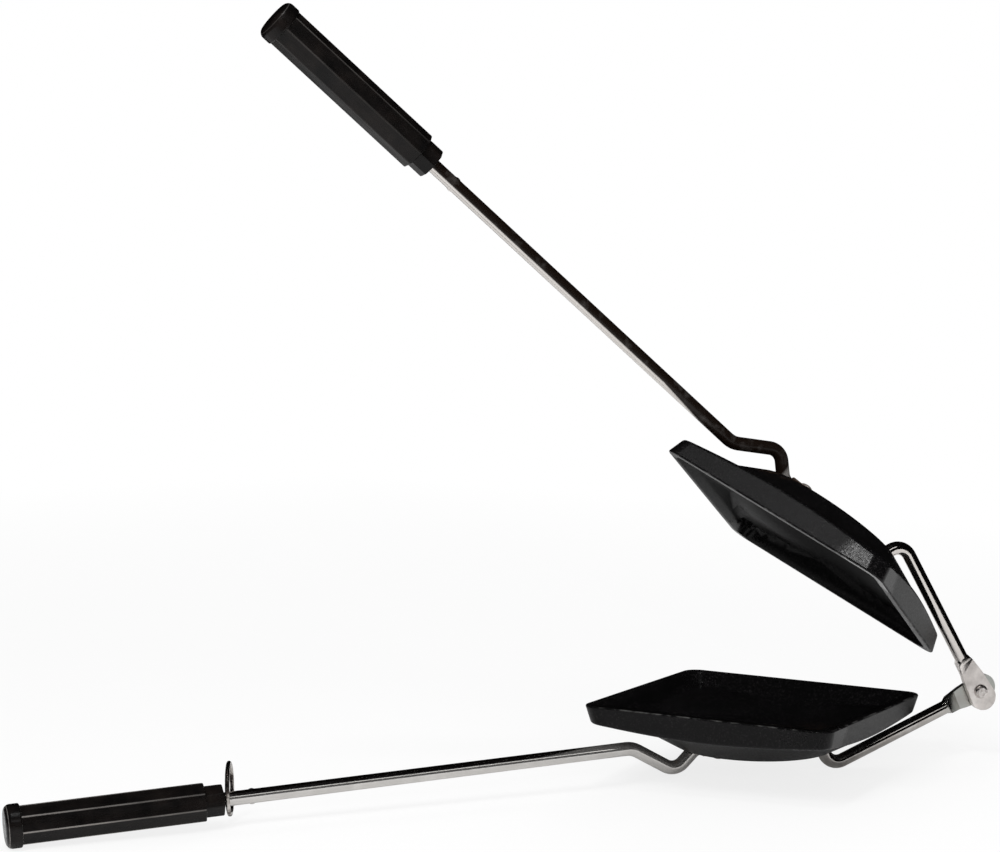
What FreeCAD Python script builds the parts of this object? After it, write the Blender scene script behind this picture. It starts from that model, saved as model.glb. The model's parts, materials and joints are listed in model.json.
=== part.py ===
import FreeCAD, Part
import math
import os
from FreeCAD import Placement, Rotation, Vector

# A pie iron: two shallow square pans, mounted corner-on, each on its own long bent rod with a
# grip.  The rods are flattened into eyes beyond the far corner and riveted there as a hinge.
#
# Both halves are the same, the upper one turned over about the length of the iron.  A half is
# drawn in its own frame: origin at the middle of the pan on its rim, X towards the hinge along
# the pan's diagonal, Z up out of the pan.  Lengths are in millimetres, angles in degrees.

SIZES = [
    # pan
    ("plate_side", 121.0),
    ("plate_corner", 8.0),
    ("wall_draft", 14.0),
    ("rim_land", 4.5),
    ("cavity_corner", 5.0),
    ("skin", 3.3),
    ("base_radius", 35.5),
    ("base_depth", 22.3),
    ("dome_radius", 55.0),
    ("dome_depth", 12.2),
    ("shoulder_slope", 8.2),
    ("shoulder_reach", 87.0),
    ("floor_thickness", 5.2),
    ("floor_bead_radius", 26.0),
    ("floor_bead_wire", 1.4),
    ("floor_bead_sink", 0.4),
    ("base_round", 2.5),
    ("dome_round", 4.0),
    ("wall_round", 2.0),
    ("rim_round", 0.7),
    # pads under the two saddles
    ("pad_width", 25.0),
    ("pad_length", 16.0),
    ("pad_round", 3.0),
    ("pad_rise", 0.8),
    ("front_pad_reach", 29.0),
    ("rear_pad_reach", 31.0),
    # rod; its heights are counted from its seat in the pan's back
    ("rod_radius", 3.175),
    ("seat_inset", 0.6),
    ("seat_gap", 0.05),
    ("bend_radius", 7.0),
    ("crest_bend_radius", 10.0),
    ("crest_reach", 59.7),
    ("crest_rise", 0.9),
    ("front_dip_reach", 38.5),
    ("front_dip_drop", 10.5),
    ("front_seat_reach", 28.5),
    ("rear_seat_reach", 33.0),
    ("rear_dip_reach", 38.8),
    ("rear_dip_drop", 11.5),
    ("run_slope", 4.6),
    ("run_length", 190.2),
    ("stop_ear_station", 13.0),
    ("stop_ear_length", 3.0),
    ("stop_ear_height", 3.6),
    ("stop_ear_width", 2.2),
    # flattened eye and hinge
    ("hinge_reach", 113.8),
    ("closing_gap", 0.3),
    ("opening_angle", 36.0),
    ("fan_length", 18.5),
    ("fan_end", 8.5),
    ("fan_half_width", 5.1),
    ("flat_reach", 11.5),
    ("eye_radius", 6.3),
    ("eye_overhang", 3.2),
    ("eye_thickness", 3.0),
    ("rivet_radius", 2.5),
    ("rivet_gap", 0.06),
    ("rivet_head_radius", 3.2),
    ("rivet_head_height", 1.7),
    ("rivet_tail_radius", 3.6),
    ("rivet_tail_height", 1.5),
    ("spacer_radius", 5.0),
    ("spacer_thickness", 0.5),
    ("tail_washer_radius", 5.2),
    ("tail_washer_thickness", 0.8),
    ("stack_gap", 0.04),
    # saddles and their screws
    ("saddle_width", 9.0),
    ("saddle_thickness", 1.0),
    ("saddle_half_span", 12.0),
    ("saddle_end_round", 3.0),
    ("front_saddle_reach", 20.5),
    ("rear_saddle_reach", 22.5),
    ("screw_spread", 8.2),
    ("screw_radius", 1.5),
    ("screw_length", 4.6),
    ("screw_gap", 0.05),
    ("screw_head_radius", 2.7),
    ("screw_head_height", 1.6),
    ("screw_head_round", 0.8),
    ("screw_slot_width", 0.7),
    ("screw_slot_depth", 0.8),
    # grip
    ("collar_length", 8.2),
    ("collar_radius", 7.4),
    ("grip_length", 79.6),
    ("grip_radius", 9.1),
    ("grip_edge_round", 0.9),
    ("grip_front_round", 0.7),
    ("grip_turn", -12.5),
    ("grip_bore_gap", 0.1),
    ("cap_length", 7.0),
    ("cap_radius", 9.6),
    ("cap_round", 3.0),
    ("cap_front_round", 0.8),
    ("spigot_length", 3.0),
    ("spigot_radius", 6.1),
    ("recess_gap", 0.1),
    ("recess_depth", 10.0),
    ("tail_radius", 2.9),
    ("grip_washer_radius", 5.9),
    ("grip_washer_thickness", 1.0),
    ("nut_flats", 10.0),
    ("nut_height", 5.0),
    ("fit_gap", 0.05),
    # hanging ring
    ("ring_radius", 11.2),
    ("ring_wire_radius", 1.0),
    ("ring_lift", 3.3),
    ("ring_gap", 0.25),
    ("ring_yaw", 16.0),
    # how far a cut runs past what it cuts
    ("overrun", 2.0),
]

# How much of a rivet head's height its rounded edge takes.
RIVET_ROUND_SHARE = 0.8

X_AXIS = Vector(1, 0, 0)
Y_AXIS = Vector(0, 1, 0)
Z_AXIS = Vector(0, 0, 1)
NO_TURN = Rotation()
Z_TO_X = Rotation(Y_AXIS, 90)
Z_TO_Y = Rotation(X_AXIS, -90)
OCTAGON_SIDE_COUNT = 8
HEXAGON_SIDE_COUNT = 6
SQUARE_SIDE_COUNT = 4
# Two places closer than this are one place.
SAME_PLACE = 0.01

doc = FreeCAD.newDocument("pie_iron")
sheet = doc.addObject("Spreadsheet::Sheet", "sizes")
for row, (alias, number) in enumerate(SIZES, start=1):
    sheet.set("A%d" % row, alias)
    sheet.set("B%d" % row, str(number))
    sheet.setAlias("B%d" % row, alias)
doc.recompute()


class SheetSizes:
    """Reads a driving size from the sheet by its name."""

    def __getattr__(self, alias):
        return float(sheet.get(alias))


size = SheetSizes()
parts = []


# Small helpers

def value(expression):
    """What an expression of the sheet's sizes comes to."""
    return float(sheet.evalExpression(expression))


def at(x=0.0, y=0.0, z=0.0, turn=NO_TURN):
    return Placement(Vector(x, y, z), turn)


def bound(kind, name, place=None, **expressions):
    """A document object whose sizes follow the sheet."""
    item = doc.addObject(kind, name)
    for prop, expression in expressions.items():
        item.setExpression(prop, expression)
    if place is not None:
        item.Placement = place
    return item


def cylinder(name, place, radius, height):
    return bound("Part::Cylinder", name, place, Radius=radius, Height=height)


def box(name, place, length, width, height):
    return bound("Part::Box", name, place, Length=length, Width=width, Height=height)


def cut(name, base, tool):
    item = doc.addObject("Part::Cut", name)
    item.Base = base
    item.Tool = tool
    doc.recompute()
    return item


def fuse(name, members):
    item = doc.addObject("Part::MultiFuse", name)
    item.Shapes = members
    item.Refine = True
    doc.recompute()
    return item


def common(name, members):
    item = doc.addObject("Part::MultiCommon", name)
    item.Shapes = members
    doc.recompute()
    return item


def rounded(name, base, picks):
    """Rounds edges; picks is a list of (test of an edge, radius)."""
    doc.recompute()
    chosen = []
    for number, edge in enumerate(base.Shape.Edges, start=1):
        for test, radius in picks:
            if test(edge):
                chosen.append((number, radius, radius))
                break
    if not chosen:
        raise RuntimeError(name + ": no edge to round")
    item = doc.addObject("Part::Fillet", name)
    item.Base = base
    item.Edges = chosen
    doc.recompute()
    return item


def finish_part(item, label, place):
    """Names a sub-part, and puts it where its half stands."""
    item.Label = label
    item.Placement = place.multiply(item.Placement)
    parts.append(item)
    return item


def is_circle(edge, radius, axis_point=None):
    """A circular edge of this radius, about this point where one is given."""
    curve = edge.Curve
    if not isinstance(curve, Part.Circle):
        return False
    if abs(curve.Radius - radius) > SAME_PLACE:
        return False
    return axis_point is None or (curve.Center - axis_point).Length < SAME_PLACE


# The rod's route

def hinge_point():
    return Vector(size.hinge_reach, 0, size.closing_gap / 2)


def seat_depth():
    """How far below the pan's rim the rod's axis lies where it is seated."""
    return size.base_depth - size.seat_inset


def crest_point():
    return Vector(-size.crest_reach, 0, size.crest_rise - seat_depth())


def dip_point(end):
    """Where the rod turns below the pan's back, at its front or rear."""
    if end == "front":
        return Vector(-size.front_dip_reach, 0, -seat_depth() - size.front_dip_drop)
    return Vector(size.rear_dip_reach, 0, -seat_depth() - size.rear_dip_drop)


def seat_end(end):
    """Where the rod meets its seat, at the front or rear of the pan's back."""
    if end == "front":
        return Vector(-size.front_seat_reach, 0, -seat_depth())
    return Vector(size.rear_seat_reach, 0, -seat_depth())


def run_frame(station=0.0):
    """The frame of the straight run: X along it to the hinge, station counted to the grip."""
    frame = Placement(crest_point(), Rotation(Y_AXIS, -size.run_slope))
    return frame.multiply(at(x=-station))


def arm_frame():
    """The frame of the arm that holds the eye: origin on the pin, X along the arm."""
    arm = hinge_point() - dip_point("rear")
    rise = math.degrees(math.atan2(arm.z, arm.x))
    return Placement(hinge_point(), Rotation(Y_AXIS, -rise))


def collar_station():
    return size.run_length


def step_station():
    return size.run_length + size.collar_length


def cap_station():
    return step_station() + size.grip_length


def nut_seat_station():
    """Where the washer under the nut bears on the bottom of the grip's recess."""
    return cap_station() - size.recess_depth


def tail_station():
    return cap_station() - size.spigot_length - size.fit_gap


def rounded_route(points, radii):
    """Straight runs joined by tangent arcs at the inner points."""
    edges = []
    start = points[0]
    for before, corner, after, radius in zip(points, points[1:], points[2:], radii):
        back = (before - corner).normalize()
        ahead = (after - corner).normalize()
        half_turn = (math.pi - back.getAngle(ahead)) / 2
        tangent = radius * math.tan(half_turn)
        enter = corner + back * tangent
        leave = corner + ahead * tangent
        middle = corner + (back + ahead).normalize() * (radius / math.cos(half_turn) - radius)
        edges.append(Part.LineSegment(start, enter).toShape())
        edges.append(Part.Arc(enter, middle, leave).toShape())
        start = leave
    edges.append(Part.LineSegment(start, points[-1]).toShape())
    return Part.Wire(edges)


def rod_points():
    fan_root = arm_frame().multVec(Vector(-size.fan_length, 0, 0))
    return [
        run_frame(nut_seat_station()).Base,
        crest_point(),
        dip_point("front"),
        seat_end("front"),
        seat_end("rear"),
        dip_point("rear"),
        fan_root,
    ]


def rod_sweep(name, radius):
    """A round bar along the rod's route."""
    points = rod_points()
    radii = [size.crest_bend_radius] + [size.bend_radius] * (len(points) - 3)
    route = doc.addObject("Part::Feature", name + "_route")
    route.Shape = rounded_route(points, radii)
    section = bound("Part::Circle", name + "_section", run_frame(nut_seat_station()), Radius=radius)
    section.Placement = section.Placement.multiply(Placement(Vector(), Z_TO_X))
    doc.recompute()
    bar = doc.addObject("Part::Sweep", name)
    bar.Sections = [section]
    bar.Spine = (route, ["Edge%d" % (number + 1) for number in range(len(route.Shape.Edges))])
    bar.Solid = True
    bar.Frenet = True
    doc.recompute()
    return bar


# The pan

def square_block(name, side, depth, corner):
    """A square block on its corner, drafted inwards as it goes down, with rounded corners."""
    outline = bound("Part::RegularPolygon", name + "_outline", Circumradius=side + " / sqrt(2)")
    outline.Polygon = SQUARE_SIDE_COUNT
    block = bound("Part::Extrusion", name, LengthFwd=depth, TaperAngle="-sizes.wall_draft")
    block.Base = outline
    block.DirMode = "Custom"
    block.Dir = -Z_AXIS
    block.Solid = True

    def upright(edge):
        heights = [vertex.Z for vertex in edge.Vertexes]
        return max(heights) - min(heights) > size.overrun

    return rounded(name + "_rounded", block, [(upright, corner)])


def round_back(name, inset, floor_radius, floor_depth):
    """The stack of cones that shapes the pan's back, or its inside at this inset."""
    dome_depth = "(sizes.dome_depth - %s)" % inset
    shoulder_height = "((sizes.shoulder_reach - sizes.dome_radius) * tan(sizes.shoulder_slope * 1deg))"
    dome_top = -value(dome_depth)
    dome = bound("Part::Cone", name + "_dome", at(z=-value(floor_depth)),
                 Radius1=floor_radius, Radius2="sizes.dome_radius", Height=floor_depth + " - " + dome_depth)
    shoulder = bound("Part::Cone", name + "_shoulder", at(z=dome_top),
                     Radius1="sizes.dome_radius", Radius2="sizes.shoulder_reach", Height=shoulder_height)
    crown = cylinder(name + "_crown", at(z=dome_top + value(shoulder_height)), "sizes.shoulder_reach",
                     "sizes.dome_depth")
    return fuse(name, [dome, shoulder, crown])


def pan(half):
    """The cast pan: drafted square rim, domed back, dished inside, groove and pads for the rod."""
    tag = half + "_pan"
    block = square_block(tag + "_block", "sizes.plate_side", "sizes.base_depth + sizes.overrun",
                         size.plate_corner)
    back = round_back(tag + "_back", "0", "sizes.base_radius", "sizes.base_depth")
    blank = common(tag + "_blank", [block, back])

    base_centre = Vector(0, 0, -size.base_depth)
    dome_centre = Vector(0, 0, -size.dome_depth)

    def shoulder_edge(edge):
        if isinstance(edge.Curve, Part.Circle) or isinstance(edge.Curve, Part.Line):
            return False
        box_of_edge = edge.BoundBox
        return box_of_edge.ZMax < -size.overrun and box_of_edge.ZMin > -size.dome_depth - size.skin

    soft = rounded(tag + "_soft", blank, [
        (lambda edge: is_circle(edge, size.base_radius, base_centre), size.base_round),
        (lambda edge: is_circle(edge, size.dome_radius, dome_centre), size.dome_round),
        (shoulder_edge, size.wall_round),
        (lambda edge: edge.BoundBox.ZMin > -SAME_PLACE, size.rim_round),
    ])

    pads = []
    for end, reach in (("front", -size.front_pad_reach), ("rear", size.rear_pad_reach - size.pad_length)):
        raw = box(tag + "_" + end + "_pad_box", at(reach, -size.pad_width / 2, -size.base_depth - size.pad_rise),
                  "sizes.pad_length", "sizes.pad_width", "sizes.base_depth - sizes.dome_depth + sizes.pad_rise")
        pads.append(rounded(tag + "_" + end + "_pad", raw, [
            (lambda edge: abs(edge.Vertexes[0].Z - edge.Vertexes[1].Z) > size.overrun, size.pad_round)]))
    padded = fuse(tag + "_padded", [soft] + pads)

    # the dished inside, parallel to the back down to its own flat floor
    floor_depth = "(sizes.base_depth - sizes.floor_thickness)"
    slope = "(sizes.dome_radius - sizes.base_radius) / (sizes.base_depth - sizes.dome_depth)"
    floor_radius = "sizes.base_radius + (sizes.floor_thickness - sizes.skin) * " + slope
    dish_block = square_block(tag + "_dish_block", "(sizes.plate_side - 2 * sizes.rim_land)",
                              "sizes.base_depth", size.cavity_corner)
    dish_back = round_back(tag + "_dish_back", "sizes.skin", floor_radius, floor_depth)
    dish = common(tag + "_dish", [dish_block, dish_back])
    hollow = cut(tag + "_hollow", padded, dish)

    bead = bound("Part::Torus", tag + "_bead", at(z=-value(floor_depth) - size.floor_bead_sink),
                 Radius1="sizes.floor_bead_radius", Radius2="sizes.floor_bead_wire")
    beaded = fuse(tag + "_beaded", [hollow, bead])

    # groove for the rod, and tapped holes for the saddle screws
    bar = rod_sweep(tag + "_groove_bar", "sizes.rod_radius + sizes.seat_gap")
    groove_side = -size.rod_radius - size.seat_gap
    slot = box(tag + "_groove_slot",
               at(seat_end("front").x, groove_side, -seat_depth() - size.rod_radius - size.overrun),
               "sizes.front_seat_reach + sizes.rear_seat_reach", "2 * (sizes.rod_radius + sizes.seat_gap)",
               "sizes.rod_radius + sizes.overrun")
    mouths = []
    starts = {"front": dip_point("front").x, "rear": seat_end("rear").x}
    for end, start in starts.items():
        mouths.append(box("%s_%s_mouth" % (tag, end), at(start, groove_side, dip_point(end).z),
                          "sizes.%s_dip_reach - sizes.%s_seat_reach" % (end, end),
                          "2 * (sizes.rod_radius + sizes.seat_gap)", "sizes.%s_dip_drop" % end))
    holes = []
    for place in screw_places():
        holes.append(cylinder(tag + "_screw_hole", place.multiply(at(z=-size.screw_length)),
                              "sizes.screw_radius + sizes.screw_gap", "sizes.screw_length + sizes.overrun"))
    tools = fuse(tag + "_cutters", [bar, slot] + mouths + holes)
    return cut(tag, beaded, tools)


# Saddles

def pad_level():
    return -size.base_depth - size.pad_rise


def saddle_reaches():
    return {"front": -size.front_saddle_reach, "rear": size.rear_saddle_reach}


def screw_places(only_end=None):
    """Frames on the pads' faces at the screws, with Z out of the pad."""
    over = Rotation(X_AXIS, 180)
    places = []
    for end, reach in saddle_reaches().items():
        if only_end in (None, end):
            for side in (-1, 1):
                places.append(at(reach, side * size.screw_spread, pad_level(), over))
    return places


def saddle(half, end):
    """A pressed strap over the rod, with a screwed foot on each side."""
    tag = "%s_%s_saddle" % (half, end)
    start = saddle_reaches()[end] - size.saddle_width / 2
    crown = cylinder(tag + "_crown", at(start, 0, -seat_depth(), Z_TO_X),
                     "sizes.rod_radius + sizes.seat_gap + sizes.saddle_thickness", "sizes.saddle_width")
    feet_box = box(tag + "_feet_box", at(start, -size.saddle_half_span, pad_level() - size.saddle_thickness),
                   "sizes.saddle_width", "2 * sizes.saddle_half_span", "sizes.saddle_thickness")
    feet = rounded(tag + "_feet", feet_box, [
        (lambda edge: abs(edge.Vertexes[0].Z - edge.Vertexes[1].Z) > size.saddle_thickness / 2,
         size.saddle_end_round)])
    strap = fuse(tag + "_blank", [crown, feet])
    bore = cylinder(tag + "_bore", at(start - size.overrun, 0, -seat_depth(), Z_TO_X),
                    "sizes.rod_radius + sizes.seat_gap", "sizes.saddle_width + 2 * sizes.overrun")
    above = box(tag + "_above", at(start - size.overrun, -size.saddle_half_span, pad_level()),
                "sizes.saddle_width + 2 * sizes.overrun", "2 * sizes.saddle_half_span", "sizes.base_depth")
    tools = [bore, above]
    for place in screw_places(end):
        tools.append(cylinder(tag + "_hole", place.multiply(at(z=-size.overrun)),
                              "sizes.screw_radius + 2 * sizes.screw_gap",
                              "sizes.saddle_thickness + 2 * sizes.overrun"))
    return cut(tag, strap, fuse(tag + "_tools", tools))


def saddle_screws(half, end):
    """The two slotted pan-head screws of one saddle, as a group of separate solids."""
    tag = "%s_%s_saddle_screws" % (half, end)
    screws = []
    for place in screw_places(end):
        seat = place.multiply(at(z=size.saddle_thickness))
        shank = cylinder(tag + "_shank", place.multiply(at(z=size.fit_gap - size.screw_length)),
                         "sizes.screw_radius", "sizes.screw_length - sizes.fit_gap + sizes.saddle_thickness")
        blank = cylinder(tag + "_head_blank", seat, "sizes.screw_head_radius", "sizes.screw_head_height")
        top = seat.multVec(Vector(0, 0, size.screw_head_height))
        head = rounded(tag + "_head", blank, [
            (lambda edge, top=top: is_circle(edge, size.screw_head_radius, top), size.screw_head_round)])
        slot = box(tag + "_slot", seat.multiply(at(-size.screw_head_radius - size.overrun,
                                                   -size.screw_slot_width / 2,
                                                   size.screw_head_height - size.screw_slot_depth)),
                   "2 * (sizes.screw_head_radius + sizes.overrun)", "sizes.screw_slot_width", "sizes.overrun")
        screws.append(cut(tag + "_screw", fuse(tag + "_body", [shank, head]), slot))
    group = doc.addObject("Part::Compound", tag)
    group.Links = screws
    doc.recompute()
    return group


# Rod

def eye_reach():
    """How far the flat end runs past the pin."""
    return size.eye_overhang + size.eye_radius


def eye_outline():
    """The outline of the flattened end in the plane of the arm, symmetric about the arm."""
    fan_corner = Vector(-size.fan_end, 0, size.fan_half_width)
    eye_centre = Vector(size.eye_overhang, 0, 0)
    # where a line from the fan's corner touches the eye's circle
    away = fan_corner - eye_centre
    touch = math.atan2(away.z, away.x) - math.acos(size.eye_radius / away.Length)
    touch_point = eye_centre + Vector(math.cos(touch), 0, math.sin(touch)) * size.eye_radius
    side = [Vector(-size.fan_length, 0, size.rod_radius), fan_corner, touch_point]
    other = [Vector(point.x, 0, -point.z) for point in reversed(side)]
    edges = [Part.LineSegment(first, second).toShape() for first, second in zip(side, side[1:])]
    edges.append(Part.Arc(side[-1], Vector(eye_reach(), 0, 0), other[0]).toShape())
    edges += [Part.LineSegment(first, second).toShape() for first, second in zip(other, other[1:])]
    edges.append(Part.LineSegment(other[-1], side[0]).toShape())
    return Part.Face(Part.Wire(edges))


def squeeze_outline():
    """How the end thins sideways from the round bar to the flat eye, seen from above."""
    near = size.spacer_thickness / 2 + size.stack_gap
    far = near + size.eye_thickness
    reach = eye_reach() + size.overrun
    points = [Vector(-size.fan_length, -size.rod_radius, 0), Vector(-size.flat_reach, near, 0),
              Vector(reach, near, 0), Vector(reach, far, 0), Vector(-size.flat_reach, far, 0),
              Vector(-size.fan_length, size.rod_radius, 0)]
    return Part.Face(Part.makePolygon(points + points[:1]))


def rod(half):
    """One bent bar: threaded tail, run, crest, dip, seat on the pan, dip, arm and flattened eye."""
    tag = half + "_rod"
    bar = rod_sweep(tag + "_bar", "sizes.rod_radius")
    tail = cylinder(tag + "_tail", run_frame(tail_station()).multiply(Placement(Vector(), Z_TO_X)),
                    "sizes.tail_radius", str(tail_station() - nut_seat_station()))
    ears = bound("Part::Ellipsoid", tag + "_ears",
                 run_frame(collar_station() - size.stop_ear_station),
                 Radius1="sizes.stop_ear_height", Radius2="sizes.stop_ear_length",
                 Radius3="sizes.stop_ear_width")

    arm = arm_frame()
    plan = doc.addObject("Part::Feature", tag + "_eye_plan")
    plan.Shape = eye_outline().extrude(Vector(0, 2 * size.eye_radius, 0))
    plan.Placement = arm.multiply(at(y=-size.eye_radius))
    squeeze = doc.addObject("Part::Feature", tag + "_eye_squeeze")
    squeeze.Shape = squeeze_outline().extrude(Vector(0, 0, 2 * size.eye_radius))
    squeeze.Placement = arm.multiply(at(z=-size.eye_radius))
    swell = bound("Part::Cone", tag + "_eye_swell",
                  arm.multiply(Placement(Vector(-size.fan_length, 0, 0), Z_TO_X)),
                  Radius1="sizes.rod_radius", Radius2="sizes.rod_radius + sizes.eye_radius",
                  Height="sizes.fan_length - sizes.fan_end")
    swell_on = cylinder(tag + "_eye_swell_on", arm.multiply(Placement(Vector(-size.fan_end, 0, 0), Z_TO_X)),
                        "sizes.rod_radius + sizes.eye_radius",
                        "sizes.fan_end + sizes.eye_overhang + sizes.eye_radius + sizes.overrun")
    envelope = fuse(tag + "_eye_envelope", [swell, swell_on])
    eye = common(tag + "_eye", [plan, squeeze, envelope])
    whole = fuse(tag + "_whole", [bar, tail, ears, eye])
    bore = cylinder(tag + "_eye_bore", arm.multiply(Placement(Vector(0, -size.eye_radius, 0), Z_TO_Y)),
                    "sizes.rivet_radius + sizes.rivet_gap", "2 * sizes.eye_radius")
    return cut(tag, whole, bore)


# Grip, its cap, and what holds it on the rod

def grip_prism(name, station, radius, length):
    """An octagonal bar along the run, from this station towards the hinge."""
    turn = Rotation(Z_AXIS, 180.0 / OCTAGON_SIDE_COUNT + size.grip_turn)
    place = run_frame(station).multiply(Placement(Vector(), Z_TO_X)).multiply(Placement(Vector(), turn))
    prism = bound("Part::Prism", name, place, Circumradius=radius, Height=length)
    prism.Polygon = OCTAGON_SIDE_COUNT
    return prism


def grip(half):
    """The moulded grip: an octagonal barrel with a thinner octagonal collar in front."""
    tag = half + "_grip"
    barrel_raw = grip_prism(tag + "_barrel_raw", cap_station(), "sizes.grip_radius", "sizes.grip_length")
    collar_raw = grip_prism(tag + "_collar_raw", step_station() + size.overrun, "sizes.collar_radius",
                            "sizes.collar_length + sizes.overrun")

    def ridge(edge):
        return edge.Length > size.collar_length

    axis = run_frame().Rotation.multVec(X_AXIS)

    def front_edge(edge, station):
        here = run_frame(station).Base
        return all(abs((vertex.Point - here).dot(axis)) < SAME_PLACE for vertex in edge.Vertexes)

    barrel = rounded(tag + "_barrel", barrel_raw, [
        (ridge, size.grip_edge_round),
        (lambda edge: front_edge(edge, step_station()), size.grip_front_round)])
    collar = rounded(tag + "_collar", collar_raw, [
        (ridge, size.grip_edge_round),
        (lambda edge: front_edge(edge, collar_station()), size.grip_front_round)])
    body = fuse(tag + "_body", [barrel, collar])
    bore = cylinder(tag + "_bore", run_frame(cap_station() + size.overrun).multiply(Placement(Vector(), Z_TO_X)),
                    "sizes.rod_radius + sizes.grip_bore_gap",
                    "sizes.grip_length + sizes.collar_length + 2 * sizes.overrun")
    recess = cylinder(tag + "_recess",
                      run_frame(cap_station() + size.overrun).multiply(Placement(Vector(), Z_TO_X)),
                      "sizes.spigot_radius + sizes.recess_gap", "sizes.recess_depth + sizes.overrun")
    return cut(tag, body, fuse(tag + "_hollows", [bore, recess]))


def grip_cap(half):
    """The domed round cap on the butt, with a spigot pressed into the grip."""
    tag = half + "_grip_cap"
    end_station = cap_station() + size.cap_length
    blank = cylinder(tag + "_blank", run_frame(end_station).multiply(Placement(Vector(), Z_TO_X)),
                     "sizes.cap_radius", "sizes.cap_length")
    butt = run_frame(end_station).Base
    front = run_frame(cap_station()).Base
    dome = rounded(tag + "_dome", blank, [
        (lambda edge: is_circle(edge, size.cap_radius, butt), size.cap_round),
        (lambda edge: is_circle(edge, size.cap_radius, front), size.cap_front_round)])
    spigot = cylinder(tag + "_spigot",
                      run_frame(cap_station() + size.overrun).multiply(Placement(Vector(), Z_TO_X)),
                      "sizes.spigot_radius", "sizes.spigot_length + sizes.overrun")
    return fuse(tag, [dome, spigot])


def grip_washer(half):
    tag = half + "_grip_washer"
    place = run_frame(nut_seat_station() + size.grip_washer_thickness).multiply(Placement(Vector(), Z_TO_X))
    disc = cylinder(tag + "_disc", place, "sizes.grip_washer_radius", "sizes.grip_washer_thickness")
    hole = cylinder(tag + "_hole", place.multiply(at(z=-size.overrun)), "sizes.tail_radius + sizes.fit_gap",
                    "sizes.grip_washer_thickness + 2 * sizes.overrun")
    return cut(tag, disc, hole)


def grip_nut(half):
    tag = half + "_grip_nut"
    station = nut_seat_station() + size.grip_washer_thickness + size.nut_height
    place = run_frame(station).multiply(Placement(Vector(), Z_TO_X))
    hexagon = bound("Part::Prism", tag + "_hexagon", place, Circumradius="sizes.nut_flats / sqrt(3)",
                    Height="sizes.nut_height")
    hexagon.Polygon = HEXAGON_SIDE_COUNT
    hole = cylinder(tag + "_hole", place.multiply(at(z=-size.overrun)), "sizes.tail_radius + sizes.fit_gap",
                    "sizes.nut_height + 2 * sizes.overrun")
    return cut(tag, hexagon, hole)


# Hinge

def pin_frame(offset):
    """On the pin's axis at this distance to the far side, with Z along the pin."""
    return Placement(hinge_point() + Vector(0, offset, 0), Z_TO_Y)


def stack_half():
    """From the middle of the hinge to the outer face of an eye."""
    return size.spacer_thickness / 2 + size.stack_gap + size.eye_thickness


def hinge_rivet():
    near = -stack_half() - size.stack_gap
    far = stack_half() + size.tail_washer_thickness + 2 * size.stack_gap
    shank = cylinder("rivet_shank", pin_frame(near), "sizes.rivet_radius", str(far - near))
    head_blank = cylinder("rivet_head_blank", pin_frame(near - size.rivet_head_height),
                          "sizes.rivet_head_radius", "sizes.rivet_head_height")
    head_top = pin_frame(near - size.rivet_head_height).Base
    head = rounded("rivet_head", head_blank, [
        (lambda edge: is_circle(edge, size.rivet_head_radius, head_top), size.rivet_head_height * RIVET_ROUND_SHARE)])
    tail_blank = cylinder("rivet_tail_blank", pin_frame(far), "sizes.rivet_tail_radius",
                          "sizes.rivet_tail_height")
    tail_top = pin_frame(far + size.rivet_tail_height).Base
    tail = rounded("rivet_tail", tail_blank, [
        (lambda edge: is_circle(edge, size.rivet_tail_radius, tail_top), size.rivet_tail_height * RIVET_ROUND_SHARE)])
    return fuse("hinge_rivet_body", [shank, head, tail])


def washer_on_pin(name, start, radius, thickness):
    disc = cylinder(name + "_disc", pin_frame(start), radius, thickness)
    hole = cylinder(name + "_hole", pin_frame(start - size.overrun), "sizes.rivet_radius + sizes.rivet_gap",
                    thickness + " + 2 * sizes.overrun")
    return cut(name + "_body", disc, hole)


def hanging_ring(stand):
    """A wire ring loose round the lower rod, upright, touching the rod's side and the collar."""
    yaw = math.radians(size.ring_yaw)
    swing = size.ring_radius * math.sin(yaw) + size.ring_wire_radius + size.ring_gap
    rod_point = stand.multVec(run_frame(collar_station() - swing).Base)
    reach = size.ring_radius * math.cos(yaw) - size.ring_wire_radius - size.rod_radius - size.ring_gap
    aside = math.sqrt(reach ** 2 - size.ring_lift ** 2)
    facing = Rotation(Z_AXIS, -size.ring_yaw).multiply(Z_TO_X)
    return bound("Part::Torus", "hanging_ring_wire",
                 Placement(rod_point + Vector(0, aside, size.ring_lift), facing),
                 Radius1="sizes.ring_radius", Radius2="sizes.ring_wire_radius")


# Standing the halves up

def resting_tilt():
    """The turn that puts the rear dip of the rod and the cap of the grip on one level."""
    arm = arm_frame().Rotation.multVec(X_AXIS)
    corner = dip_point("rear")
    back = (seat_end("rear") - corner).normalize()
    half_turn = (math.pi - back.getAngle(arm)) / 2
    dip_centre = corner + (back + arm).normalize() * (size.bend_radius / math.cos(half_turn))
    dip_reach = size.bend_radius + size.rod_radius
    cap_axis = run_frame(cap_station() + size.cap_length - size.cap_round)
    cap_centre = cap_axis.multVec(Vector(0, 0, -(size.cap_radius - size.cap_round)))
    span = dip_centre - cap_centre
    slope = math.atan2(span.z, span.x)
    lean = math.asin((dip_reach - size.cap_round) / span.Length)
    return math.degrees(slope - lean)


def half_placements(origin):
    """Where the lower and the upper half stand, the upper one open about the pin."""
    lower = Placement(origin, Rotation(Y_AXIS, resting_tilt()))
    shut = Placement(Vector(0, 0, size.closing_gap), Rotation(X_AXIS, 180))
    pin = Placement(hinge_point(), NO_TURN)
    swing = pin.multiply(Placement(Vector(), Rotation(Y_AXIS, size.opening_angle))).multiply(pin.inverse())
    return {"lower": lower, "upper": lower.multiply(swing).multiply(shut)}


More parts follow.
